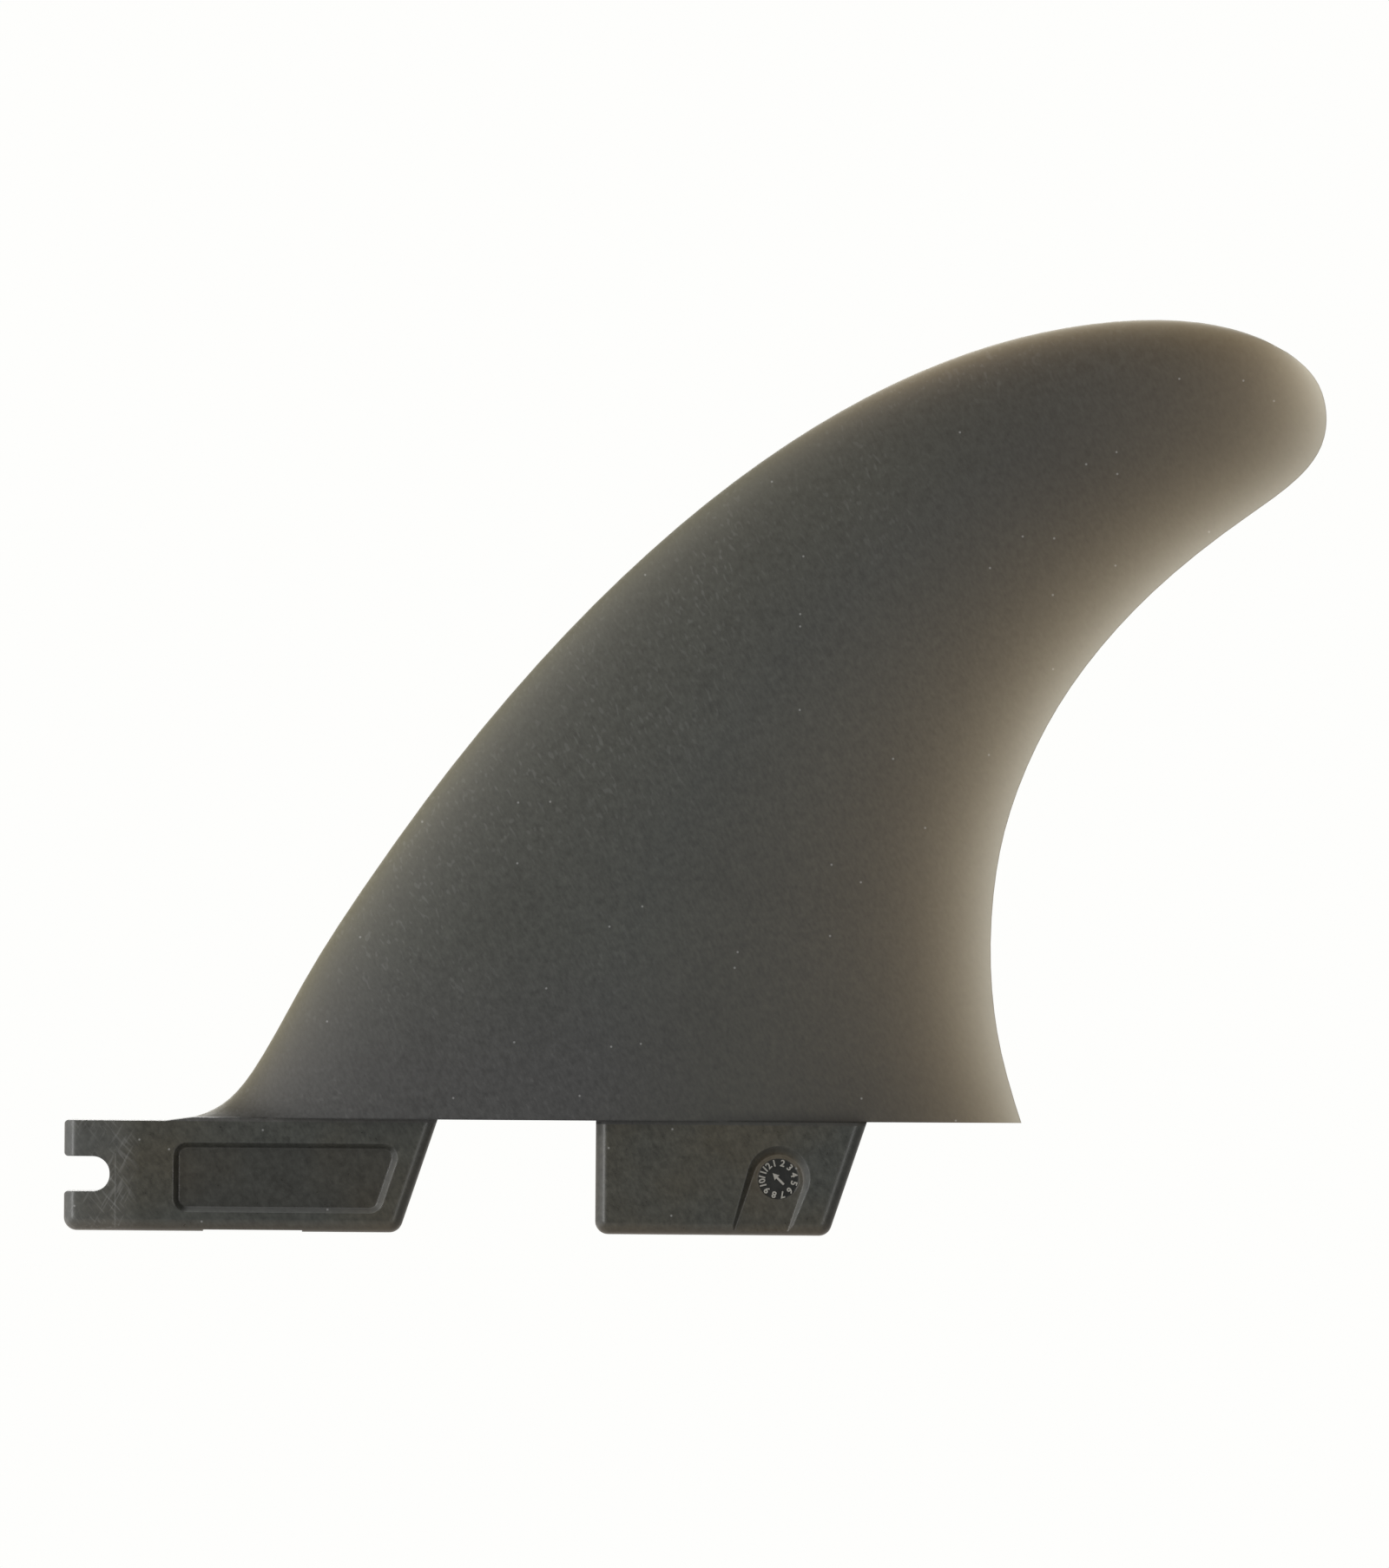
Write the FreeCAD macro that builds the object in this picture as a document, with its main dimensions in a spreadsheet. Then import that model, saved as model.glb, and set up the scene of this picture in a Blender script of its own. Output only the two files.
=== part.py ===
import FreeCAD, Part
import Sketcher
import os
from math import comb, cos, radians, sin, tan

# A side fin for a surfboard, moulded in one piece: a swept blade with a flat inner face and a
# foiled outer face, standing on two tabs that plug into a box in the board.
# Frame: X runs back along the board, Z away from it, and the foiled face looks towards -Y.
# The origin lies on the plane of the board's skin, midway between the two tabs.

document = FreeCAD.newDocument("SurfboardFin")
sheet = document.addObject("Spreadsheet::Sheet", "Sizes")

# Driving sizes in millimetres and degrees. A reach is measured forwards or backwards from the
# origin, a rise upwards from the board and a drop downwards.
sizes = {
    # Leading edge: a concave foot on the front tab, then one long convex sweep to the crest.
    "foot_reach": 42.9,
    "foot_round": 12.0,
    "lead_angle": 62.3,
    "lead_pull": 39.8,
    "crest_pull": 50.0,
    # Tip: the crest is the highest point, and the tip reaches furthest back.
    "depth": 98.7,
    "tip_reach": 98.65,
    "tip_drop": 11.45,
    "crest_back": 20.2,
    "crest_round": 10.4,
    "tip_round_up": 7.0,
    "tip_round_down": 5.7,
    # Trailing edge: a flared heel, a waist, and a bend where the hollow turns into the tip.
    "heel_reach": 61.9,
    "heel_angle": 19.0,
    "heel_pull": 9.8,
    "waist_inset": 3.95,
    "waist_rise": 22.15,
    "waist_pull_down": 7.0,
    "waist_pull_up": 23.6,
    "bend_back": 10.9,
    "bend_drop": 13.55,
    "bend_angle": 35.7,
    "bend_pull_down": 19.7,
    "bend_pull_up": 10.4,
    # Foil: thickness at the root and at the trailing edge, and the step from the tabs' inner
    # face back to the blade's.
    "blade_thick": 8.0,
    "edge_thick": 0.8,
    "inner_inset": 0.35,
    # Both tabs.
    "tab_thick": 6.3,
    "tab_deep": 13.95,
    "tab_lean_angle": 18.5,
    "tab_edge_round": 1.5,
    "corner_round": 1.6,
    # Front tab, with the fork that hooks onto the pin in the box.
    "front_tab_nose": 55.4,
    "front_tab_heel": 9.7,
    "shoulder_drop": 0.45,
    "fork_width": 4.3,
    "fork_length": 5.6,
    "fork_drop": 7.0,
    "tine_round": 0.5,
    # Shallow panel in each side of the front tab.
    "panel_nose": 42.0,
    "panel_heel": 13.9,
    "panel_drop": 3.05,
    "panel_tall": 8.55,
    "panel_deep": 0.8,
    "panel_round": 1.7,
    "panel_draft_angle": 40.0,
    # Step that eases the middle of the front tab's foot.
    "relief_nose": 38.4,
    "relief_heel": 26.2,
    "relief_deep": 0.2,
    # Rear tab, with a channel in each side for the roller that holds it down. The channel's floor
    # slopes out towards its open foot, so that the roller climbs it.
    "rear_tab_nose": 9.7,
    "rear_tab_heel": 42.9,
    "channel_reach": 32.1,
    "channel_drop": 7.0,
    "channel_width": 7.7,
    "channel_deep": 0.9,
    "channel_slope_angle": 4.5,
    "channel_draft_angle": 40.0,
    # Round mould insert in the floor of the outer channel.
    "dial_width": 5.0,
    "dial_deep": 0.2,
}
for row, (alias, value) in enumerate(sizes.items(), start=1):
    sheet.set("A%d" % row, alias)
    sheet.set("B%d" % row, str(value))
    sheet.setAlias("B%d" % row, alias)
document.recompute()


def formula(text):
    """Write the sheet's name before the name of each size in a formula."""
    return " ".join("Sizes." + word if word in sizes else word for word in text.split())


def new_sketch(body, name, role, offset="0"):
    """Start a sketch on one of the body's own planes, moved along the plane's normal."""
    sketch = body.newObject("Sketcher::SketchObject", name)
    plane = [feature for feature in body.Origin.OriginFeatures if feature.Role == role][0]
    sketch.AttachmentSupport = [(plane, "")]
    sketch.MapMode = "FlatFace"
    sketch.setExpression("AttachmentOffset.Base.z", formula(offset))
    return sketch


def value(owner, text):
    """The number that a formula gives now."""
    return float(owner.evalExpression(formula(text)))


def bind(sketch, constraint, name, text):
    """Add a constraint whose value follows a formula."""
    index = sketch.addConstraint(constraint)
    label = "%s%d" % (name, index)
    sketch.renameConstraint(index, label)
    sketch.setExpression("Constraints." + label, formula(text))


def fix_point(sketch, element, corner, across, up):
    """Hold a point at two formulas, measured from the sketch's origin."""
    point = sketch.getPoint(element, corner)
    bind(sketch, Sketcher.Constraint("DistanceX", -1, 1, element, corner, point.x), "across", across)
    bind(sketch, Sketcher.Constraint("DistanceY", -1, 1, element, corner, point.y), "up", up)


def join(sketch, kind, first, first_end, second, second_end):
    sketch.addConstraint(Sketcher.Constraint(kind, first, first_end, second, second_end))


def draw_arc(sketch, start, middle, end, clockwise):
    """Add an arc and give the number of its start and of its end, which always run anticlockwise."""
    points = (end, middle, start) if clockwise else (start, middle, end)
    element = sketch.addGeometry(Part.Arc(*points), False)
    return (element, 2, 1) if clockwise else (element, 1, 2)


def rounded_outline(sketch, corners):
    """Draw a closed outline of straight sides. A corner is two formulas and, if round, a third."""
    count = len(corners)
    spots = [FreeCAD.Vector(value(sketch, corner[0]), value(sketch, corner[1]), 0) for corner in corners]
    starts, middles, ends, turns = [], [], [], []
    for k, corner in enumerate(corners):
        here = spots[k]
        back = (spots[k - 1] - here).normalize()
        ahead = (spots[(k + 1) % count] - here).normalize()
        radius = value(sketch, corner[2]) if len(corner) > 2 else 0.0
        half = back.getAngle(ahead) / 2
        starts.append(here + back * (radius / tan(half)))
        ends.append(here + ahead * (radius / tan(half)))
        middles.append(here + (back + ahead).normalize() * (radius / sin(half) - radius))
        turns.append(back.cross(ahead).z > 0)
    sides = []
    for k in range(count):
        side = Part.LineSegment(ends[k], starts[(k + 1) % count])
        sides.append(sketch.addGeometry(side, False))
    for k, corner in enumerate(corners):
        before, after = sides[k - 1], sides[k]
        if len(corner) == 2:
            join(sketch, "Coincident", before, 2, after, 1)
            fix_point(sketch, after, 1, corner[0], corner[1])
            continue
        arc, first, last = draw_arc(sketch, starts[k], middles[k], ends[k], turns[k])
        join(sketch, "Tangent", before, 2, arc, first)
        join(sketch, "Tangent", arc, last, after, 1)
        bind(sketch, Sketcher.Constraint("Radius", arc, value(sketch, corner[2])), "round", corner[2])
        mark = sketch.addGeometry(Part.Point(spots[k]), True)
        fix_point(sketch, mark, 1, corner[0], corner[1])
        sketch.addConstraint(Sketcher.Constraint("PointOnObject", mark, 1, before))
        sketch.addConstraint(Sketcher.Constraint("PointOnObject", mark, 1, after))


def round_ended(sketch, width, angle, reach):
    """Draw a slot with one round end, centred on the sketch's origin, that runs away at an angle."""
    radius = value(sketch, width) / 2
    length = value(sketch, reach)
    turn = radians(value(sketch, angle))
    along = FreeCAD.Vector(cos(turn), sin(turn), 0)
    left = FreeCAD.Vector(-sin(turn), cos(turn), 0) * radius
    right = left * -1
    far_left = left + along * length
    far_right = right + along * length
    arc, first, last = draw_arc(sketch, left, along * -radius, right, False)
    away = sketch.addGeometry(Part.LineSegment(right, far_right), False)
    mouth = sketch.addGeometry(Part.LineSegment(far_right, far_left), False)
    home = sketch.addGeometry(Part.LineSegment(far_left, left), False)
    join(sketch, "Coincident", arc, 3, -1, 1)
    bind(sketch, Sketcher.Constraint("Radius", arc, radius), "round", "( %s ) / 2" % width)
    join(sketch, "Tangent", arc, last, away, 1)
    join(sketch, "Tangent", home, 2, arc, first)
    join(sketch, "Coincident", away, 2, mouth, 1)
    join(sketch, "Coincident", mouth, 2, home, 1)
    sketch.addConstraint(Sketcher.Constraint("Parallel", away, home))
    sketch.addConstraint(Sketcher.Constraint("Perpendicular", away, mouth))
    bind(sketch, Sketcher.Constraint("Angle", away, turn), "lean", "1deg * ( %s )" % angle)
    bind(sketch, Sketcher.Constraint("Distance", away, length), "reach", reach)


def pad_both_ways(body, name, sketch, thickness):
    pad = body.newObject("PartDesign::Pad", name)
    pad.Profile = sketch
    pad.SideType = "Symmetric"
    pad.setExpression("Length", formula(thickness))
    return pad


def cut_through(body, name, sketch, thickness):
    """Cut a profile right through a tab."""
    cut = body.newObject("PartDesign::Pocket", name)
    cut.Profile = sketch
    cut.SideType = "Symmetric"
    cut.setExpression("Length", formula(thickness + " * 2"))
    document.recompute()


def pocket(body, name, sketch, depth, draft="0"):
    """Cut a pocket whose walls slope in towards its floor by a draft angle."""
    cut = body.newObject("PartDesign::Pocket", name)
    cut.Profile = sketch
    cut.setExpression("Length", formula(depth))
    cut.setExpression("TaperAngle", formula("0 - " + draft))
    document.recompute()
    return cut


def mirror(body, name, feature):
    """Repeat a feature on the other side of the tabs' middle plane."""
    copy = body.newObject("PartDesign::Mirrored", name)
    copy.Originals = [feature]
    plane = [part for part in body.Origin.OriginFeatures if part.Role == "XZ_Plane"][0]
    copy.MirrorPlane = (plane, [""])
    body.Tip = copy
    document.recompute()


def round_edges(body, name, base, radius, chosen):
    """Round the edges of a feature that the given test picks by their middle point."""
    names = []
    for number, edge in enumerate(base.Shape.Edges, start=1):
        middle = edge.valueAt((edge.FirstParameter + edge.LastParameter) / 2)
        if chosen(edge, middle):
            names.append("Edge%d" % number)
    fillet = body.newObject("PartDesign::Fillet", name)
    fillet.Base = (base, names)
    fillet.setExpression("Radius", formula(radius))
    document.recompute()


def turned(pull, angle):
    """Formulas for how far a pull at an angle reaches across and up."""
    return (pull + " * cos( 1deg * " + angle + " )", pull + " * sin( 1deg * " + angle + " )")


# Outline of the blade. Each curve is a cubic of four poles, given as formulas for X and Z.
foot_end = (
    "( foot_round * sin( 1deg * lead_angle ) - foot_reach )",
    "( foot_round * ( 1 - cos( 1deg * lead_angle ) ) - shoulder_drop )",
)
crest = ("( tip_reach - crest_back )", "depth")
tip = ("tip_reach", "( depth - tip_drop )")
bend = ("( tip_reach - bend_back )", "( depth - tip_drop - bend_drop )")
waist = ("( heel_reach - waist_inset )", "waist_rise")
heel = ("heel_reach", "0")
lead_pull = turned("lead_pull", "lead_angle")
bend_pull_down = turned("bend_pull_down", "bend_angle")
bend_pull_up = turned("bend_pull_up", "bend_angle")
lead_curve = [
    foot_end,
    (foot_end[0] + " + " + lead_pull[0], foot_end[1] + " + " + lead_pull[1]),
    (crest[0] + " - crest_pull", crest[1]),
    crest,
]
tip_curve = [
    crest,
    (crest[0] + " + crest_round", crest[1]),
    (tip[0], tip[1] + " + tip_round_up"),
    tip,
]
heel_curve = [
    heel,
    (heel[0] + " - heel_pull * sin( 1deg * heel_angle )", "heel_pull * cos( 1deg * heel_angle )"),
    (waist[0], waist[1] + " - waist_pull_down"),
    waist,
]
waist_curve = [
    waist,
    (waist[0], waist[1] + " + waist_pull_up"),
    (bend[0] + " - " + bend_pull_down[0], bend[1] + " - " + bend_pull_down[1]),
    bend,
]
bend_curve = [
    bend,
    (bend[0] + " + " + bend_pull_up[0], bend[1] + " + " + bend_pull_up[1]),
    (tip[0], tip[1] + " - tip_round_down"),
    tip,
]


def on_curve(curve, along):
    """Formulas for the point at a share of the way along a cubic."""
    shares = [comb(3, k) * (1 - along) ** (3 - k) * along**k for k in range(4)]
    return [" + ".join("%.6f * ( %s )" % (shares[k], curve[k][axis]) for k in range(4)) for axis in (0, 1)]


def on_foot(along):
    """Formulas for the point at a share of the way up the round foot, from the board's plane."""
    start = "acos( 1 - shoulder_drop / foot_round )"
    angle = "( %s + %g * ( 1deg * lead_angle - %s ) )" % (start, along, start)
    return [
        "foot_round * sin( %s ) - foot_reach" % angle,
        "foot_round * ( 1 - cos( %s ) ) - shoulder_drop" % angle,
    ]


# The blade's sections fan out from the root to the tip, each from a point on the leading edge to
# one on the trailing edge.
stations = [
    (on_foot(0.0), on_curve(heel_curve, 0.0)),
    (on_foot(0.5), on_curve(heel_curve, 0.08)),
    (on_foot(1.0), on_curve(heel_curve, 0.22)),
    (on_curve(lead_curve, 0.1), on_curve(heel_curve, 0.55)),
    (on_curve(lead_curve, 0.2), on_curve(heel_curve, 0.95)),
    (on_curve(lead_curve, 0.3), on_curve(waist_curve, 0.13)),
    (on_curve(lead_curve, 0.4), on_curve(waist_curve, 0.28)),
    (on_curve(lead_curve, 0.5), on_curve(waist_curve, 0.45)),
    (on_curve(lead_curve, 0.6), on_curve(waist_curve, 0.62)),
    (on_curve(lead_curve, 0.7), on_curve(waist_curve, 0.8)),
    (on_curve(lead_curve, 0.8), on_curve(waist_curve, 1.0)),
    (on_curve(lead_curve, 0.9), on_curve(bend_curve, 0.45)),
    (on_curve(lead_curve, 1.0), on_curve(tip_curve, 1.0)),
    (on_curve(tip_curve, 0.2), on_curve(tip_curve, 0.8)),
    (on_curve(tip_curve, 0.35), on_curve(tip_curve, 0.65)),
    (on_curve(tip_curve, 0.44), on_curve(tip_curve, 0.56)),
]

# Poles of the foiled side between nose and trailing edge, as shares of chord and of thickness.
foil_poles = [(0.0, 0.35), (0.10, 1.42), (0.36, 1.285), (0.785, 0.59)]

# Rounding of the nose onto the inner face: its size, as shares of the trailing edge's thickness
# and of the section's, and how far its inner poles stand off its ends.
nose_of_edge = 0.5
nose_of_thick = 0.08
nose_pull = 0.45

# Rough size of a section, only as the start from which a sketch finds its true one.
rough_chord = 50.0
rough_thick = 4.0
rough_nose = 0.7


def draw_curve(sketch, poles, first=0):
    """Draw one curve whose poles, from the first that is asked for, are held at formulas."""
    curve = Part.BSplineCurve()
    rough = [FreeCAD.Vector(x, y, 0) for across, up, x, y in poles]
    order = len(poles)
    curve.buildFromPolesMultsKnots(rough, [order, order], [0, 1], False, order - 1)
    element = sketch.addGeometry(curve, False)
    sketch.exposeInternalGeometry(element)
    for k in range(first, order):
        fix_point(sketch, element + 1 + k, 3, poles[k][0], poles[k][1])
    return element


def foil_section(body, number, lead, trail):
    """Draw one closed foil across the blade, along the line from lead to trail."""
    sketch = new_sketch(body, "Section%02d" % number, "XY_Plane")
    for name, text in (("LeadX", lead[0]), ("LeadZ", lead[1]), ("TrailX", trail[0]), ("TrailZ", trail[1])):
        sketch.addProperty("App::PropertyFloat", name, "Station")
        sketch.setExpression(name, formula(text))
    for name in ("Chord", "Thick", "Nose"):
        sketch.addProperty("App::PropertyFloat", name, "Station")
    sketch.setExpression("Chord", "sqrt((TrailX - LeadX)^2 + (TrailZ - LeadZ)^2)")
    share = "1" if number == 0 else "Chord / Section00.Chord"
    sketch.setExpression("Thick", formula("edge_thick + ( blade_thick - edge_thick ) * " + share))
    sketch.setExpression("Nose", formula("edge_thick * %g + Thick * %g" % (nose_of_edge, nose_of_thick)))
    sketch.setExpression("AttachmentOffset.Base.x", "LeadX")
    sketch.setExpression("AttachmentOffset.Base.z", "LeadZ")
    if number > 0:
        lean_axis = FreeCAD.Vector(0, -1, 0)
        sketch.AttachmentOffset = FreeCAD.Placement(FreeCAD.Vector(), FreeCAD.Rotation(lean_axis, -1))
        sketch.setExpression("AttachmentOffset.Rotation.Angle", "atan2(TrailZ - LeadZ; TrailX - LeadX)")
    inner = "( tab_thick / 2 - inner_inset )"
    top = value(sheet, inner)
    nose = ("0", inner + " - Nose", 0, top - rough_nose)
    rounding = [
        ("Nose", inner, rough_nose, top),
        ("Nose * %g" % nose_pull, inner, rough_nose * nose_pull, top),
        ("0", "%s - Nose * %g" % (inner, nose_pull), 0, top - rough_nose * nose_pull),
        nose,
    ]
    foiled = [nose]
    for run, rise in foil_poles:
        depth_text = inner + " - Thick * %g" % rise
        foiled.append(("Chord * %g" % run, depth_text, rough_chord * run, top - rough_thick * rise))
    foiled.append(("Chord", inner + " - edge_thick", rough_chord, top - sizes["edge_thick"]))
    nose_round = draw_curve(sketch, rounding)
    foil = draw_curve(sketch, foiled, 1)
    heel_outer = FreeCAD.Vector(rough_chord, top - sizes["edge_thick"], 0)
    heel_inner = FreeCAD.Vector(rough_chord, top, 0)
    nose_inner = FreeCAD.Vector(rough_nose, top, 0)
    heel_line = sketch.addGeometry(Part.LineSegment(heel_outer, heel_inner), False)
    flat_line = sketch.addGeometry(Part.LineSegment(heel_inner, nose_inner), False)
    sketch.addConstraint(Sketcher.Constraint("Coincident", nose_round, 2, foil, 1))
    sketch.addConstraint(Sketcher.Constraint("Coincident", foil, 2, heel_line, 1))
    sketch.addConstraint(Sketcher.Constraint("Coincident", heel_line, 2, flat_line, 1))
    sketch.addConstraint(Sketcher.Constraint("Coincident", flat_line, 2, nose_round, 1))
    fix_point(sketch, heel_line, 2, "Chord", inner)
    return sketch


blade = document.addObject("PartDesign::Body", "Blade")
sections = [foil_section(blade, number, lead, trail) for number, (lead, trail) in enumerate(stations)]
document.recompute()
loft = blade.newObject("PartDesign::AdditiveLoft", "Foil")
loft.Profile = sections[0]
loft.Sections = sections[1:]
loft.Ruled = False
document.recompute()


def on_tab_face(edge, middle):
    """Whether an edge lies in the outer or inner face of a tab, below the tab's shoulder."""
    hair = 0.001
    face = value(sheet, "tab_thick / 2")
    shoulder = value(sheet, "0 - shoulder_drop")
    flat = edge.BoundBox.YLength < hair
    return flat and abs(abs(middle.y) - face) < hair and middle.z < shoulder - hair


def tab_outline(sketch, nose_side, heel):
    """Draw a tab: its nose corners as given, a flat bottom and a heel that leans forward."""
    heel_foot = "%s - tab_deep * tan( 1deg * tab_lean_angle )" % heel
    rounded_outline(sketch, nose_side + [
        (heel_foot, "0 - tab_deep", "corner_round"),
        (heel, "0"),
    ])


front_tab = document.addObject("PartDesign::Body", "FrontTab")
front_outline = new_sketch(front_tab, "FrontOutline", "XZ_Plane")
tab_outline(front_outline, [
    ("foot_round * sin( acos( 1 - shoulder_drop / foot_round ) ) - foot_reach", "0"),
    ("0 - foot_reach", "0 - shoulder_drop"),
    ("0 - front_tab_nose", "0 - shoulder_drop"),
    ("0 - front_tab_nose", "0 - tab_deep", "corner_round"),
], "( 0 - front_tab_heel )")
front_pad = pad_both_ways(front_tab, "FrontPad", front_outline, "tab_thick")
document.recompute()
round_edges(front_tab, "FrontRound", front_pad, "tab_edge_round", on_tab_face)

# The fork and the rounded corners of its tines are one cut, which runs past the tab's nose. Its
# end is nearly a half circle.
fork_round_share = 0.48
fork_sketch = new_sketch(front_tab, "ForkOutline", "XZ_Plane")
nose = "0 - front_tab_nose"
fork_end = "fork_length - front_tab_nose"
fork_roof = "fork_width / 2 - fork_drop"
fork_floor = "0 - fork_drop - fork_width / 2"
fork_round = "fork_width * %g" % fork_round_share
ahead = "0 - front_tab_nose - fork_length"
over = "fork_length"
rounded_outline(fork_sketch, [
    (ahead, over),
    (fork_end, over),
    (fork_end, "0 - shoulder_drop"),
    (nose, "0 - shoulder_drop", "tine_round"),
    (nose, fork_roof, "tine_round"),
    (fork_end, fork_roof, fork_round),
    (fork_end, fork_floor, fork_round),
    (nose, fork_floor, "tine_round"),
    (nose, "corner_round - tab_deep"),
    (ahead, "corner_round - tab_deep"),
])
cut_through(front_tab, "Fork", fork_sketch, "tab_thick")

relief_sketch = new_sketch(front_tab, "ReliefOutline", "XZ_Plane")
rounded_outline(relief_sketch, [
    ("0 - relief_nose", "relief_deep - tab_deep"),
    ("0 - relief_nose", "0 - tab_deep - relief_deep"),
    ("0 - relief_heel", "0 - tab_deep - relief_deep"),
    ("0 - relief_heel", "relief_deep - tab_deep"),
])
cut_through(front_tab, "Relief", relief_sketch, "tab_thick")

panel_sketch = new_sketch(front_tab, "PanelOutline", "XZ_Plane", "tab_thick / 2")
panel_foot = "0 - panel_drop - panel_tall"
rounded_outline(panel_sketch, [
    ("0 - panel_nose", "0 - panel_drop", "panel_round"),
    ("0 - panel_nose", panel_foot, "panel_round"),
    ("0 - panel_heel - panel_tall * tan( 1deg * tab_lean_angle )", panel_foot, "panel_round"),
    ("0 - panel_heel", "0 - panel_drop", "panel_round"),
])
panel = pocket(front_tab, "Panel", panel_sketch, "panel_deep", "panel_draft_angle")
mirror(front_tab, "InnerPanel", panel)

rear_tab = document.addObject("PartDesign::Body", "RearTab")
rear_outline = new_sketch(rear_tab, "RearOutline", "XZ_Plane")
tab_outline(rear_outline, [
    ("rear_tab_nose", "0"),
    ("rear_tab_nose", "0 - tab_deep", "corner_round"),
], "rear_tab_heel")
rear_pad = pad_both_ways(rear_tab, "RearPad", rear_outline, "tab_thick")
document.recompute()
round_edges(rear_tab, "RearRound", rear_pad, "tab_edge_round", on_tab_face)


def over_channel(name, out):
    """Start a sketch over the channel's round end, tilted so that its foot stands further out."""
    sketch = new_sketch(rear_tab, name, "XZ_Plane")
    lean_axis = FreeCAD.Vector(-1, 0, 0)
    sketch.AttachmentOffset = FreeCAD.Placement(FreeCAD.Vector(), FreeCAD.Rotation(lean_axis, 1))
    sketch.setExpression("AttachmentOffset.Base.x", formula("channel_reach"))
    sketch.setExpression("AttachmentOffset.Base.y", formula("0 - channel_drop"))
    sketch.setExpression("AttachmentOffset.Base.z", formula(out))
    sketch.setExpression("AttachmentOffset.Rotation.Angle", formula("channel_slope_angle"))
    return sketch


# The channel is drawn a little way outside the tab, so that its tilted plane clears the tab.
lift = "( tab_deep * sin( 1deg * channel_slope_angle ) )"
channel_mouth = "channel_width + 2 * %s * tan( 1deg * channel_draft_angle )" % lift
channel_sketch = over_channel("ChannelOutline", "tab_thick / 2 + " + lift)
round_ended(channel_sketch, channel_mouth, "0 - 90 - tab_lean_angle", "tab_deep")
channel = pocket(rear_tab, "Channel", channel_sketch, "channel_deep + " + lift, "channel_draft_angle")
mirror(rear_tab, "InnerChannel", channel)

dial_sketch = over_channel("DialOutline", "tab_thick / 2 - channel_deep")
upright = FreeCAD.Vector(0, 0, 1)
dial_circle = Part.Circle(FreeCAD.Vector(), upright, value(sheet, "dial_width / 2"))
dial_edge = dial_sketch.addGeometry(dial_circle, False)
fix_point(dial_sketch, dial_edge, 3, "0", "0")
bind(dial_sketch, Sketcher.Constraint("Diameter", dial_edge, dial_circle.Radius * 2), "width", "dial_width")
pocket(rear_tab, "Dial", dial_sketch, "dial_deep")

fin = document.addObject("Part::MultiFuse", "Fin")
fin.Label = "fin"
fin.Shapes = [blade, front_tab, rear_tab]
fin.Refine = True
document.recompute()

# The parts are checked before anything is written.
for item in document.Objects:
    if "Invalid" in item.State or "Error" in item.State:
        raise RuntimeError("%s has failed: %s" % (item.Name, item.getStatusString()))
for item in (blade, front_tab, rear_tab, fin):
    if item.Shape.isNull() or not item.Shape.isValid():
        raise RuntimeError("%s has no valid shape" % item.Name)
if len(fin.Shape.Solids) != 1:
    raise RuntimeError("The fin is not one solid")
print("fin: %.1f mm3 in %d faces" % (fin.Shape.Volume, len(fin.Shape.Faces)))

os.makedirs("parts", exist_ok=True)
fin.Shape.exportStep("parts/%s.step" % fin.Label)
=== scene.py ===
import bisect
import bmesh
import bpy
from math import cos, pi, radians, sin, tan
from mathutils import Matrix, Vector


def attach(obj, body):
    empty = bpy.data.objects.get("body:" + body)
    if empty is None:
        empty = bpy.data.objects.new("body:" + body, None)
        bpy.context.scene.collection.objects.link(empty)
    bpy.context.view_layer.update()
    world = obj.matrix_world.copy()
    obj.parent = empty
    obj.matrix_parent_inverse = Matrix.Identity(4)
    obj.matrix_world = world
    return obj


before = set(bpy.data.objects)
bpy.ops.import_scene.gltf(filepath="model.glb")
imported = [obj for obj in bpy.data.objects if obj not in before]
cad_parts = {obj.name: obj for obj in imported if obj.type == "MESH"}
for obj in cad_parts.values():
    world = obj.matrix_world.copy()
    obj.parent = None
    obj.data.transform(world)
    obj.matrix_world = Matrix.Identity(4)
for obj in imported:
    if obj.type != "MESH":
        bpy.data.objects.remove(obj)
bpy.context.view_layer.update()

# The fin: a blade on two tabs that plug into a box in the board, moulded in one piece of smoky, half
# clear plastic with a satin skin. Light comes through where it is thin, so its colour follows its
# thickness: near black at the root and pale at the edges.
MM = 0.001
FIN_HEIGHT = 98.7 * MM
INNER_FACE = 2.8 * MM
EDGE_THICK = 0.8 * MM
TAB_TOP = -0.45 * MM
TAB_HALF = 3.15 * MM
TAB_LEAST = 1.6 * MM
TAB_EDGE_CLEARNESS = 3.2
BODY_COLOUR = (0.0235, 0.0248, 0.0213)
GLOW_COLOUR = (0.90, 0.925, 0.915)
GLOW_DIMMING = (1225.0, 1385.0, 1650.0)
LEAD_COLOUR = (0.27, 0.25, 0.18)
LEAD_DIMMING = (750.0, 780.0, 850.0)


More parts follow.
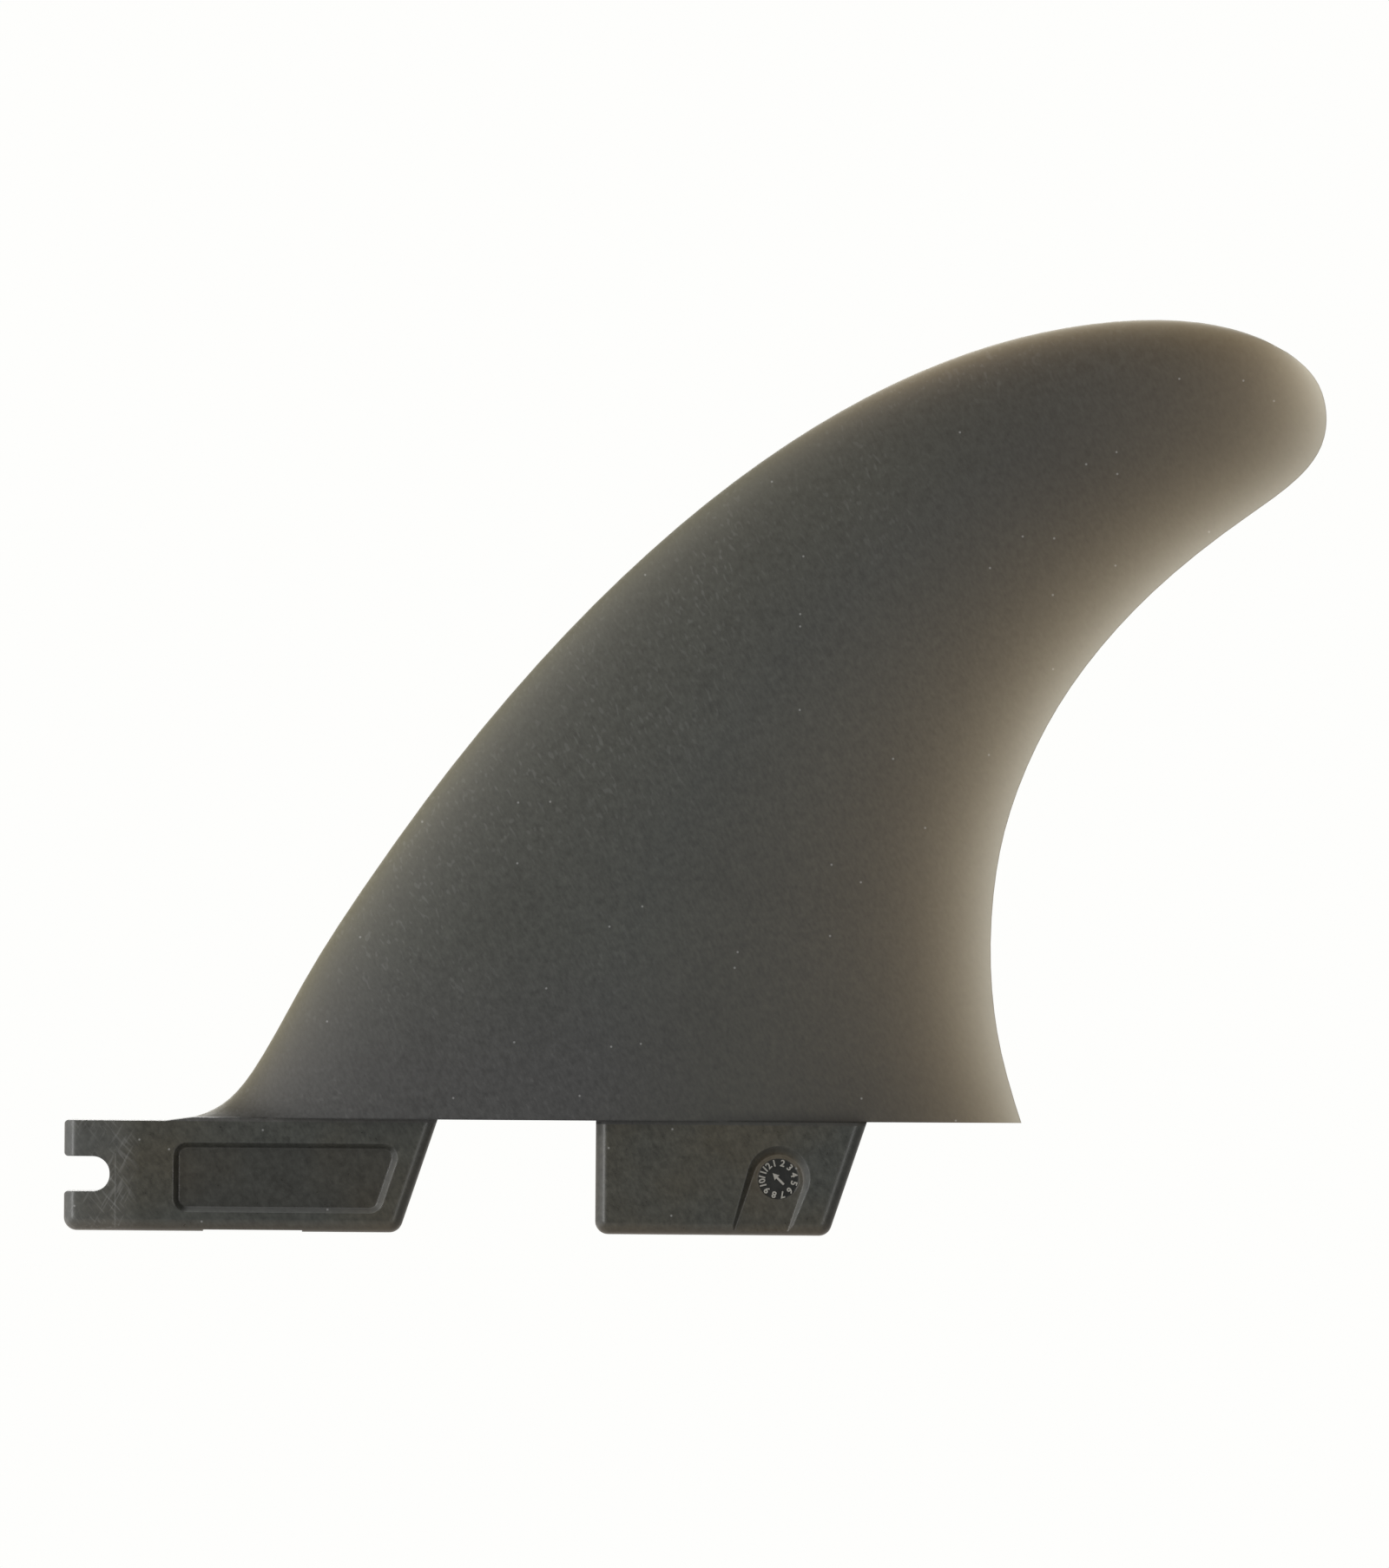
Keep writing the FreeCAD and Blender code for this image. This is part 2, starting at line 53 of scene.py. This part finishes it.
class Wire:
    """An output of a shader node, with arithmetic that adds the nodes it needs."""

    def __init__(self, tree, socket=None):
        self.tree = tree
        self.socket = socket

    def node(self, kind, settings=None, values=None, output=0):
        """Add a node with its settings and its socket values, and give one of its outputs."""
        made = self.tree.nodes.new("ShaderNode" + kind)
        for name, setting in (settings or {}).items():
            if name == "points":
                self.draw_curve(made.mapping, setting)
            else:
                setattr(made, name, setting)
        for name, value in (values or {}).items():
            if isinstance(value, Wire):
                value.feed(made, name)
            else:
                made.inputs[name].default_value = value
        return Wire(self.tree, made.outputs[output])

    def draw_curve(self, mapping, points):
        """Lay a curve node's line straight from each point to the next."""
        line = mapping.curves[0]
        line.points[0].location = points[0]
        line.points[1].location = points[-1]
        for across, up in points[1:-1]:
            line.points.new(across, up)
        for point in line.points:
            point.handle_type = "VECTOR"
        mapping.update()

    def output(self, name):
        """Another output of the same node."""
        return Wire(self.tree, self.socket.node.outputs[name])

    def feed(self, node, name):
        """Link this to a socket of a node."""
        self.tree.links.new(self.socket, node.inputs[name])

    def math(self, operation, *others):
        return self.node("Math", {"operation": operation}, dict(enumerate((self, *others))))

    def __add__(self, other):
        return self.math("ADD", other)

    __radd__ = __add__

    def __mul__(self, other):
        return self.math("MULTIPLY", other)

    __rmul__ = __mul__

    def __sub__(self, other):
        return self.math("SUBTRACT", other)

    def __rsub__(self, other):
        return self * -1.0 + other

    def __truediv__(self, other):
        return self.math("DIVIDE", other)

    def above(self, level):
        return self.math("GREATER_THAN", level)

    def at_least(self, level):
        return self.math("MAXIMUM", level)

    def size(self):
        return self.math("ABSOLUTE")

    def between(self, low, high):
        """The share of the way from low to high, held to 0 and 1."""
        return self.node("MapRange", {}, {"Value": self, "From Min": low, "From Max": high})

    def choose(self, low, high):
        """The first value where this is 0 and the second where it is 1."""
        return low + (high - low) * self

    def left_after(self, rate):
        """The share of the light that is left after this much plastic."""
        return (self * -rate).math("EXPONENT")

    def through(self, points):
        """Read a curve through points that run from 0 to 1."""
        return self.node("FloatCurve", {"points": points}, {"Value": self})


def new_material(name):
    """A material, its shader and a wire to build its nodes from."""
    material = bpy.data.materials.new(name)
    material.use_nodes = True
    return material, material.node_tree.nodes["Principled BSDF"], Wire(material.node_tree)


def slice_at(height):
    """Where the fin's mesh crosses a height: its points along the board and across the fin."""
    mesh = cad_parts["fin"].data
    points = []
    for edge in mesh.edges:
        low, high = sorted((mesh.vertices[k].co for k in edge.vertices), key=lambda co: co.z)
        if low.z <= height < high.z:
            spot = low.lerp(high, (height - low.z) / (high.z - low.z))
            points.append((spot.x, spot.y))
    return sorted(points)


# Slices of the blade give its leading edge, its trailing edge and its greatest thickness at each
# height, and one slice gives the form of its foil. The curves hold them as shares of these reaches.
SLICES = 28
SLICE_FIRST = 0.004
SLICE_LAST = 0.996
FRONT_REACH = -60 * MM
BACK_REACH = 100 * MM
THICK_REACH = 10 * MM
FOIL_HEIGHT = 0.3
FOIL_SHARES = (0.02, 0.05, 0.1, 0.15, 0.2, 0.3, 0.4, 0.5, 0.6, 0.7, 0.8, 0.9, 1.0)
INNER_SKIN = 0.72 * MM

lead_points = []
trail_points = []
thick_points = []
for step in range(SLICES + 1):
    share_up = SLICE_FIRST + (SLICE_LAST - SLICE_FIRST) * step / SLICES
    cut = slice_at(share_up * FIN_HEIGHT)
    lead_points.append((share_up, (cut[0][0] - FRONT_REACH) / (BACK_REACH - FRONT_REACH)))
    trail_points.append((share_up, (cut[-1][0] - FRONT_REACH) / (BACK_REACH - FRONT_REACH)))
    thick_points.append((share_up, (INNER_FACE - min(across for along, across in cut)) / THICK_REACH))

foil = slice_at(FOIL_HEIGHT * FIN_HEIGHT)
outer = [(along, INNER_FACE - across) for along, across in foil if across < INNER_FACE - INNER_SKIN]
chord = outer[-1][0] - outer[0][0]
deepest = max(deep for along, deep in outer)
foil_points = [(0.0, 0.0)]
for share_back in FOIL_SHARES:
    spot = outer[0][0] + chord * share_back
    after = min(max(bisect.bisect([along for along, deep in outer], spot), 1), len(outer) - 1)
    (along_0, deep_0), (along_1, deep_1) = outer[after - 1], outer[after]
    deep = deep_0 + (deep_1 - deep_0) * (spot - along_0) / max(along_1 - along_0, 1e-9)
    foil_points.append((share_back, max(0.0, (deep - EDGE_THICK) / (deepest - EDGE_THICK))))

smoky, shader, start = new_material("smoky_plastic")
place = start.node("TexCoord", output="Object")
x = start.node("SeparateXYZ", {}, {0: place})
y = x.output("Y")
z = x.output("Z")
height = z / FIN_HEIGHT
lead = height.through(lead_points) * (BACK_REACH - FRONT_REACH) + FRONT_REACH
trail = height.through(trail_points) * (BACK_REACH - FRONT_REACH) + FRONT_REACH
most = height.through(thick_points) * THICK_REACH
share = (x - lead) / (trail - lead)
on_blade = z.above(TAB_TOP)
on_tabs = 1.0 - on_blade
on_inner = y.above(INNER_FACE - 0.05 * MM)
inner_thick = EDGE_THICK + (most - EDGE_THICK) * share.through(foil_points)
blade_thick = on_inner.choose(INNER_FACE - y, inner_thick).at_least(EDGE_THICK)
tab_thick = (2.0 * TAB_HALF - (TAB_HALF - y.size()) * TAB_EDGE_CLEARNESS).at_least(TAB_LEAST)
thick = on_blade.choose(tab_thick, blade_thick)

# Cloudy flow marks, and the fine nap of the short glass fibres in the plastic.
CLOUD_SCALE = 55.0
NAP_SCALE = 1100.0
FIBRE_SCALE = (2800.0, 2800.0, 1300.0)
FIBRE_TURN = 0.5
CLOUD_DEPTH = 0.40
NAP_DEPTH = 0.95
FIBRE_DEPTH = 0.80
cloud = start.node("TexNoise", {}, {"Vector": place, "Scale": CLOUD_SCALE, "Detail": 2.0})
nap = start.node("TexNoise", {}, {"Vector": place, "Scale": NAP_SCALE, "Detail": 2.0, "Roughness": 0.6})
turned = start.node("Mapping", {}, {"Vector": place, "Rotation": (0.0, FIBRE_TURN, 0.0)})
along_fibres = start.node("Mapping", {}, {"Vector": turned, "Scale": FIBRE_SCALE})
fibres = start.node("TexNoise", {}, {"Vector": along_fibres, "Scale": 1.0, "Detail": 1.0})
grain = (cloud - 0.5) * CLOUD_DEPTH + (nap - 0.5) * NAP_DEPTH + (fibres - 0.5) * FIBRE_DEPTH + 1.0

# Bright specks where a fibre's end or a bubble shows, and pale flecks where the leading half is worn.
SPECK_CELLS = 260.0
SPECK_SIZE = (0.045, 0.020)
SPECK_CHANCE = 0.10
SPECK_LIGHT = 0.09
FLECK_SCALE = 0.8
FLECK_RANGE = (0.64, 0.76)
FLECK_LIGHT = 0.018
WORN_CHORD = (0.60, 0.15)
WORN_CLOUD = (0.35, 0.60)
front_place = start.node("CombineXYZ", {}, {"X": x, "Y": z})
cells = start.node("TexVoronoi", {"voronoi_dimensions": "2D"}, {"Vector": front_place, "Scale": SPECK_CELLS})
chance = start.node("SeparateColor", {}, {0: cells.output("Color")})
specks = cells.between(*SPECK_SIZE) * chance.above(1.0 - SPECK_CHANCE)
flecks = start.node("TexNoise", {}, {"Vector": along_fibres, "Scale": FLECK_SCALE, "Detail": 0.0})
worn = share.between(*WORN_CHORD) * on_blade * cloud.between(*WORN_CLOUD)
pale = specks * SPECK_LIGHT + flecks.between(*FLECK_RANGE) * worn * FLECK_LIGHT


def front_box(low_x, high_x, low_z, high_z, soft):
    """1 inside a box seen from the front and 0 outside it, with soft sides."""
    along = x.between(low_x - soft, low_x + soft) * x.between(high_x + soft, high_x - soft)
    return along * z.between(low_z - soft, low_z + soft) * z.between(high_z + soft, high_z - soft)


# The floor of the panel and the disc of the dial are darker than the tabs round them.
PANEL_FRONT = -41.7 * MM
PANEL_BACK = -13.2 * MM
PANEL_LEAN = tan(radians(18.5))
PANEL_FOOT = -11.25 * MM
PANEL_HEAD = -3.35 * MM
PANEL_SOFT = 0.15 * MM
PANEL_DARK = 0.34
DIAL_CENTRE = Vector((32.1, -2.25, -7.0)) * MM
DIAL_ROUND = 2.52 * MM
DIAL_SIDE = (0.0, -1.0 * MM)
DIAL_SOFT = 0.1 * MM
DIAL_DARK = 0.80
panel_floor = front_box(PANEL_FRONT, 0.0, PANEL_FOOT, PANEL_HEAD, PANEL_SOFT)
panel_floor = panel_floor * (x - z * PANEL_LEAN).between(PANEL_BACK + PANEL_SOFT, PANEL_BACK - PANEL_SOFT)
dial_x = x - DIAL_CENTRE.x
dial_z = z - DIAL_CENTRE.z
from_dial = (dial_x * dial_x + dial_z * dial_z).math("SQRT")
on_dial = from_dial.between(DIAL_ROUND, DIAL_ROUND - DIAL_SOFT) * y.between(*DIAL_SIDE)
dark = (1.0 - panel_floor * PANEL_DARK) * (1.0 - on_dial * DIAL_DARK)

# Painted shade: a dark line in the crease where the tabs meet the blade, and shade above the rear tab, at
# the root and the tip.
CREASE_BOX = (-34.0 * MM, 43.0 * MM, -0.35 * MM, 0.15 * MM, 0.15 * MM)
CREASE_DARK = 0.35
REAR_BOX = (23.0 * MM, 42.0 * MM, -0.3 * MM, 0.9 * MM, 0.6 * MM)
REAR_DARK = 0.35
ROOT_RISE = (24.0 * MM, 2.0 * MM)
ROOT_BACK = (-5.0 * MM, 22.0 * MM)
ROOT_DARK = 0.24
TIP_RISE = (58.0 * MM, 80.0 * MM)
TIP_DARK = 0.26
at_root = z.between(*ROOT_RISE) * x.between(*ROOT_BACK) * on_blade
dark = dark * (1.0 - front_box(*CREASE_BOX) * CREASE_DARK) * (1.0 - front_box(*REAR_BOX) * REAR_DARK)
dark = dark * (1.0 - at_root * ROOT_DARK) * (1.0 - z.between(*TIP_RISE) * TIP_DARK)

# Scratches and a pale haze of handling at the fork, the thin line of a mould insert beside it, and a painted
# highlight on the tines' rounded noses.
SCRATCH_SCALE = (3600.0, 3600.0, 450.0)
SCRATCH_TURNS = {3.0: 0.7, 8.0: -0.5}
SCRATCH_RANGE = (0.60, 0.74)
SCRATCH_CLOUD = (0.40, 0.58)
SCRATCH_LIGHT = 0.035
INSERT_BOX = (-49.16 * MM, -49.04 * MM, -13.6 * MM, -4.5 * MM, 0.05 * MM)
INSERT_LIGHT = 0.03
FORK_REACH = (-46.0 * MM, -48.5 * MM)
FORK_HAZE = 0.014
NOSE_REACH = (-52.5 * MM, -54.5 * MM)
NOSE_HIGHLIGHT = 0.012
at_fork = x.between(*FORK_REACH) * on_tabs
scratches = 0.0
for seed, turn in SCRATCH_TURNS.items():
    askew = start.node("Mapping", {}, {"Vector": place, "Rotation": (0.0, turn, 0.0)})
    askew = start.node("Mapping", {}, {"Vector": askew, "Scale": SCRATCH_SCALE})
    values = {"Vector": askew, "W": seed, "Scale": 1.0, "Detail": 0.0}
    scratch = start.node("TexNoise", {"noise_dimensions": "4D"}, values)
    scratches = scratches + scratch.between(*SCRATCH_RANGE)
pale = pale + scratches * cloud.between(*SCRATCH_CLOUD) * at_fork * SCRATCH_LIGHT
pale = pale + front_box(*INSERT_BOX) * INSERT_LIGHT
# The pale band at the tines' noses is a painted highlight on their rounded fronts.
pale = pale + at_fork * FORK_HAZE + x.between(*NOSE_REACH) * NOSE_HIGHLIGHT

# Painted light and shade on the tabs: walls that face forwards and up are painted paler, as if lit, and
# those that face back and down are painted darker, as if in shade.
LIGHT_FROM_FRONT = 0.85
LIGHT_FROM_ABOVE = 0.55
LIT_RANGE = (0.06, 0.45)
PAINTED_LIGHT = 0.038
SHADED_RANGE = (-0.2, -0.5)
PAINTED_SHADE = 0.32
facing = start.node("SeparateXYZ", {}, {0: start.node("TexCoord", output="Normal")})
towards_light = (facing * -LIGHT_FROM_FRONT + facing.output("Z") * LIGHT_FROM_ABOVE) * on_tabs
dark = dark * (1.0 - towards_light.between(*SHADED_RANGE) * PAINTED_SHADE)
pale = pale + towards_light.between(*LIT_RANGE) * PAINTED_LIGHT

# The light that comes through: greyer at the leading edge, stronger at the tip, brown at the tabs' feet.
GLOW_GAIN = 0.83
TIP_GAIN = 1.20
TIP_GLOW_RISE = (82.0 * MM, 96.0 * MM)
TIP_END_GAIN = 0.22
TIP_END_RISE = (86.0 * MM, 96.0 * MM)
TIP_END_BACK = (80.0 * MM, 92.0 * MM)
LEAD_CHORD = (0.45, 0.25)
LEAD_TOP = (92.0 * MM, 78.0 * MM)
LEAD_GAIN_UP = 0.87
LEAD_GAIN_LOW = 1.35
LEAD_LOW = (60.0 * MM, 15.0 * MM)
FOOT_RISE = (-12.4 * MM, -13.8 * MM)
FOOT_COLOUR = (0.020, 0.012, 0.005)
PANEL_DULLNESS = 0.8
at_lead = share.between(*LEAD_CHORD) * on_blade * z.between(*LEAD_TOP)
at_tip_end = z.between(*TIP_END_RISE) * x.between(*TIP_END_BACK)
gain = z.between(*TIP_GLOW_RISE).choose(GLOW_GAIN, TIP_GAIN) + at_tip_end * TIP_END_GAIN
gain = gain * (1.0 - panel_floor * PANEL_DULLNESS) * (1.0 - on_dial)
lead_gain = z.between(*LEAD_LOW).choose(LEAD_GAIN_UP, LEAD_GAIN_LOW)
at_foot = z.between(*FOOT_RISE)
glow = []
for colour, rate, lead_colour, lead_rate, foot_colour in zip(
    GLOW_COLOUR, GLOW_DIMMING, LEAD_COLOUR, LEAD_DIMMING, FOOT_COLOUR
):
    behind = thick.left_after(rate) * gain * colour
    before = thick.left_after(lead_rate) * lead_gain * lead_colour
    glow.append(at_lead.choose(behind, before) + at_foot * foot_colour)

# A violet reflection painted low on the blade, and a brown cast towards its trailing edge and in the tabs'
# clouds.
REFLECTED_VIOLET = (0.03, -0.03, 0.10)
BROWN = (0.12, -0.04, -0.22)
REFLECTION_RISE = (22.0 * MM, 6.0 * MM)
REFLECTION_BACK = (26.0 * MM, 8.0 * MM)
BROWN_CHORD = (0.45, 0.75)
BROWN_CLOUD = (0.42, 0.62)
BLADE_BROWN = 0.7
violet_reflection = on_blade * z.between(*REFLECTION_RISE) * x.between(*REFLECTION_BACK)
blade_brown = share.between(*BROWN_CHORD) * on_blade * BLADE_BROWN
brown = (cloud.between(*BROWN_CLOUD) * on_tabs).at_least(blade_brown)
channels = []
for through, body, cool, warm in zip(glow, BODY_COLOUR, REFLECTED_VIOLET, BROWN):
    cast = 1.0 + violet_reflection * cool + brown * warm
    channels.append(through + grain * dark * cast * body + pale)
smoke = start.node("CombineColor", {}, dict(zip(("Red", "Green", "Blue"), channels)))
smoke.feed(shader, "Base Color")

# The skin: the tabs are shinier than the blade, and their cut edges are eased.
TAB_ROUGH = 0.32
BLADE_ROUGH = 0.52
ROUGH_CHANGE = 0.2
EASED_EDGE = 0.25 * MM
SKIN_DEEP = 0.03 * MM
SKIN_STRENGTH = 0.2
SHEEN = 0.34
rough = on_blade.choose(TAB_ROUGH, BLADE_ROUGH) + (nap - 0.5) * ROUGH_CHANGE
rough.feed(shader, "Roughness")
eased = start.node("Bevel", {"samples": 6}, {"Radius": EASED_EDGE})
skin = {"Strength": SKIN_STRENGTH, "Distance": SKIN_DEEP, "Height": nap + fibres, "Normal": eased}
start.node("Bump", {}, skin).feed(shader, "Normal")
shader.inputs["Specular IOR Level"].default_value = SHEEN

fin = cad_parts["fin"]
fin.data.materials.clear()
fin.data.materials.append(smoky)

# The dial: a round mould insert in the floor of the outer channel. Its plain numbers and arrow are
# raised from the same plastic and stand up to just below the channel's floor.
DIAL_DEEP = 0.2 * MM
DIAL_SLOPE = radians(4.5)
MARK_RISE = 0.14 * MM
MARK_SWELL = 0.03 * MM
NUMBERS = 12
NUMBER_RING = 1.95 * MM
NUMBER_TALL = 0.82 * MM
FONT_CAP = 0.72
FIRST_ANGLE = radians(-15)
ARROW_LONG = 0.95 * MM
ARROW_POINT = 1.0 * MM
ARROW_NECK = 0.25 * MM
ARROW_BARB = 0.20 * MM
SHAFT_HALF = 0.13 * MM
HEAD_HALF = 0.42 * MM
ARROW_ANGLE = radians(45)
RUBBED_COLOUR = (0.165, 0.157, 0.138)
RUBBED_ROUGH = 0.5
WEAR_SCALE = 3000.0
WEAR_DEPTH = 0.5
WEAR_LEAST = 0.75

outward = Vector((0, -cos(DIAL_SLOPE), sin(DIAL_SLOPE)))
upward = Vector((0, sin(DIAL_SLOPE), cos(DIAL_SLOPE)))
dial_turn = Matrix((Vector((1, 0, 0)), upward, outward)).transposed().to_4x4()
dial_place = Matrix.Translation(DIAL_CENTRE - outward * DIAL_DEEP) @ dial_turn


def raised_number(number):
    """A number cut out as a mesh, in its own plane, as thick as the marks rise."""
    words = bpy.data.curves.new("number", "FONT")
    words.body = str(number)
    words.size = NUMBER_TALL / FONT_CAP
    words.extrude = MARK_RISE / 2
    words.offset = MARK_SWELL
    words.resolution_u = 2
    words.align_x = "CENTER"
    words.align_y = "CENTER"
    holder = bpy.data.objects.new("number", words)
    bpy.context.scene.collection.objects.link(holder)
    bpy.context.view_layer.update()
    mesh = bpy.data.meshes.new_from_object(holder.evaluated_get(bpy.context.evaluated_depsgraph_get()))
    bpy.data.objects.remove(holder)
    return mesh


marks = bmesh.new()
for number in range(1, NUMBERS + 1):
    angle = FIRST_ANGLE + 2 * pi * (number - 1) / NUMBERS
    seat = Matrix.Translation((NUMBER_RING * sin(angle), NUMBER_RING * cos(angle), MARK_RISE / 2))
    mesh = raised_number(number)
    mesh.transform(dial_place @ seat @ Matrix.Rotation(-angle, 4, "Z"))
    marks.from_mesh(mesh)

half_arrow = [(SHAFT_HALF, -ARROW_LONG), (SHAFT_HALF, ARROW_NECK), (HEAD_HALF, ARROW_BARB)]
arrow = half_arrow + [(0.0, ARROW_POINT)] + [(-a, b) for a, b in reversed(half_arrow)]
arrow_place = dial_place @ Matrix.Rotation(ARROW_ANGLE, 4, "Z")
rings = []
for rise in (0, MARK_RISE):
    rings.append([marks.verts.new(arrow_place @ Vector((a, b, rise))) for a, b in arrow])
marks.faces.new(rings[1])
for corner in range(len(arrow)):
    after = (corner + 1) % len(arrow)
    marks.faces.new((rings[0][corner], rings[0][after], rings[1][after], rings[1][corner]))

dial_mesh = bpy.data.meshes.new("dial_marks")
marks.to_mesh(dial_mesh)
marks.free()
dial = bpy.data.objects.new("dial_marks", dial_mesh)
bpy.context.scene.collection.objects.link(dial)
rubbed, rubbed_shader, start = new_material("rubbed_plastic")
wear = start.node("TexNoise", {}, {"Scale": WEAR_SCALE, "Detail": 1.0}) * WEAR_DEPTH + WEAR_LEAST
channels = dict(zip(("Red", "Green", "Blue"), [wear * part for part in RUBBED_COLOUR]))
start.node("CombineColor", {}, channels).feed(rubbed_shader, "Base Color")
rubbed_shader.inputs["Roughness"].default_value = RUBBED_ROUGH
dial_mesh.materials.clear()
dial_mesh.materials.append(rubbed)
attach(dial, "root")

# The stage: a plain pale floor some way below the fin, which is seen in front of plain white.
FLOOR_HALF = 4.0
FLOOR_DROP = 0.25
FLOOR_COLOUR = (0.86, 0.86, 0.85, 1)
FLOOR_ROUGH = 0.9
floor_mesh = bpy.data.meshes.new("floor")
corners = [(a * FLOOR_HALF, b * FLOOR_HALF, -FLOOR_DROP) for a, b in ((-1, -1), (1, -1), (1, 1), (-1, 1))]
floor_mesh.from_pydata(corners, [], [(0, 1, 2, 3)])
floor = bpy.data.objects.new("floor", floor_mesh)
bpy.context.scene.collection.objects.link(floor)
pale_floor, floor_shader, start = new_material("pale_floor")
floor_shader.inputs["Base Color"].default_value = FLOOR_COLOUR
floor_shader.inputs["Roughness"].default_value = FLOOR_ROUGH
floor_mesh.materials.append(pale_floor)

# The light: an even pale room that the camera sees as white, a soft key from the upper left, and
# narrow strips at both sides and above that draw a line along the tabs' rounded edges.
ROOM_COLOUR = (1.0, 1.0, 0.985, 1)
ROOM_LIGHT = 0.42
ROOM_SEEN = 0.99
LAMP_AIM = Vector((0.02, 0.0, 0.04))
world = bpy.data.worlds.new("studio")
world.use_nodes = True
bpy.context.scene.world = world
background = world.node_tree.nodes["Background"]
background.inputs["Color"].default_value = ROOM_COLOUR
seen = Wire(world.node_tree).node("LightPath", output="Is Camera Ray")
seen.choose(ROOM_LIGHT, ROOM_SEEN).feed(background, "Strength")


def soft_lamp(name, place, wide, tall, power):
    """An area lamp that faces the middle of the fin."""
    data = bpy.data.lights.new(name, "AREA")
    data.shape = "RECTANGLE"
    data.size = wide
    data.size_y = tall
    data.energy = power
    lamp = bpy.data.objects.new(name, data)
    lamp.location = place
    lamp.rotation_euler = (LAMP_AIM - lamp.location).to_track_quat("-Z", "Y").to_euler()
    bpy.context.scene.collection.objects.link(lamp)


soft_lamp("key", place=(-1.5, -0.8, 0.9), wide=0.9, tall=0.9, power=17.0)
soft_lamp("top_strip", place=(-0.4, -0.8, 1.1), wide=0.5, tall=0.15, power=3.0)
soft_lamp("left_strip", place=(-0.9, -1.2, 0.15), wide=0.3, tall=0.6, power=8.0)
soft_lamp("right_strip", place=(0.62, -1.1, 0.05), wide=0.22, tall=0.5, power=3.6)
soft_lamp("behind", place=(-0.2, 1.0, 0.6), wide=0.8, tall=0.8, power=8.0)

# The camera looks straight at the foiled face through a long lens, turned by under half a degree.
LENS = 400.0
SENSOR = 36.0
FRAME_TALL = 192.25 * MM
FRAME_X = 21.45 * MM
FRAME_Z = 41.29 * MM
ROLL = radians(0.45)
NEAR = 0.05
FAR = 50.0
lens = bpy.data.cameras.new("camera")
lens.lens = LENS
lens.sensor_width = SENSOR
lens.clip_start = NEAR
lens.clip_end = FAR
camera = bpy.data.objects.new("camera", lens)
distance = FRAME_TALL * LENS / SENSOR
stand = Matrix.Translation((FRAME_X, -distance, FRAME_Z))
camera.matrix_world = stand @ Matrix.Rotation(pi / 2, 4, "X") @ Matrix.Rotation(ROLL, 4, "Z")
bpy.context.scene.collection.objects.link(camera)
bpy.context.scene.camera = camera

bpy.context.scene.view_settings.view_transform = "Standard"
